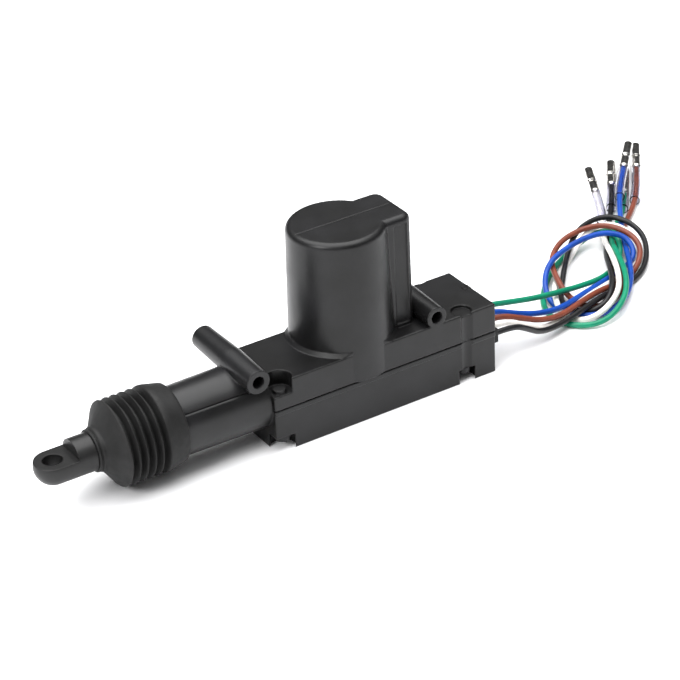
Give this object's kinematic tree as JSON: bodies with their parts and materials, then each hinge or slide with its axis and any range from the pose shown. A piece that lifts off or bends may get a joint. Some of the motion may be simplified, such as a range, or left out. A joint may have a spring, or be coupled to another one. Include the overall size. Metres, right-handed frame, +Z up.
{
  "type": "door latch actuator",
  "caption": "Electric door latch actuator with an upright motor tower, a booted sliding rod with an eye, two cross bosses and five loose wires with bullet ends.",
  "frame": {"origin": "middle of the bounding box of everything but the free wires, on the plane of the lower cover's underside", "axes": "+X along the rod from its eye towards the wire exit, +Y towards the far ends of the mounting bosses, +Z up along the motor tower"},
  "size_m": [0.2982, 0.1021, 0.0642],
  "materials": {
    "black_plastic": "semi-matte moulded",
    "rod_plastic": "smooth moulded",
    "rubber": "matte",
    "steel": "zinc plated",
    "plated": "bright nickel",
    "bronze": "sintered",
    "copper": "bright copper",
    "carbon": "graphite",
    "magnet": "ferrite",
    "natural_plastic": "natural acetal",
    "board": "phenolic board",
    "clear_sleeve": "clear",
    "green_pvc": "glossy",
    "blue_pvc": "glossy",
    "brown_pvc": "glossy",
    "white_pvc": "glossy",
    "black_pvc": "glossy"
  },
  "bodies": {
    "housing": {"boot": "rubber", "contact_board": "board", "contact_tracks": "copper", "front_bumper": "rubber", "gear_pin": "steel", "housing_screws": "steel", "lower_bearing": "bronze", "lower_cover": "black_plastic", "motor_brushes": "carbon", "motor_can": "steel", "motor_end_cap": "natural_plastic", "motor_leads": "black_pvc", "motor_magnets": "magnet", "motor_tabs": "plated", "rear_bumper": "rubber", "sleeve_black": "clear_sleeve", "sleeve_blue": "clear_sleeve", "sleeve_brown": "clear_sleeve", "sleeve_green": "clear_sleeve", "sleeve_white": "clear_sleeve", "switch_leads": "black_pvc", "terminal_black": "plated", "terminal_blue": "plated", "terminal_brown": "plated", "terminal_green": "plated", "terminal_white": "plated", "upper_bearing": "bronze", "upper_housing": "black_plastic", "wire_black": "black_pvc", "wire_blue": "blue_pvc", "wire_brown": "brown_pvc", "wire_comb": "rubber", "wire_green": "green_pvc", "wire_white": "white_pvc"},
    "rod": {"rack_rod": "rod_plastic", "switch_wiper": "bronze"},
    "gear": {"reduction_gear": "natural_plastic"},
    "rotor": {"motor_shaft": "steel", "armature_core": "steel", "armature_windings": "copper", "commutator": "copper", "motor_pinion": "bronze"}
  },
  "joints": [
    {"name": "rod_slide", "type": "slide", "parent": "housing", "child": "rod", "axis": [-1, 0, 0], "range_m": [0, 0.019], "deforming": ["boot"]},
    {"name": "gear_spin", "type": "hinge", "parent": "housing", "child": "gear", "pos_m": [0.0408, -0.00365, 0.016], "axis": [0, 0, 1], "range_deg": [-217.8, 0]},
    {"name": "rotor_spin", "type": "hinge", "parent": "housing", "child": "rotor", "pos_m": [0.03019, -0.00075, 0.04], "axis": [0, 0, 1], "range_deg": [0, 580.7]}
  ],
  "couplings": [
    {"joint": "gear_spin", "follows": "rod_slide", "rad_per_m": -200},
    {"joint": "rotor_spin", "follows": "rod_slide", "rad_per_m": 533.33}
  ]
}
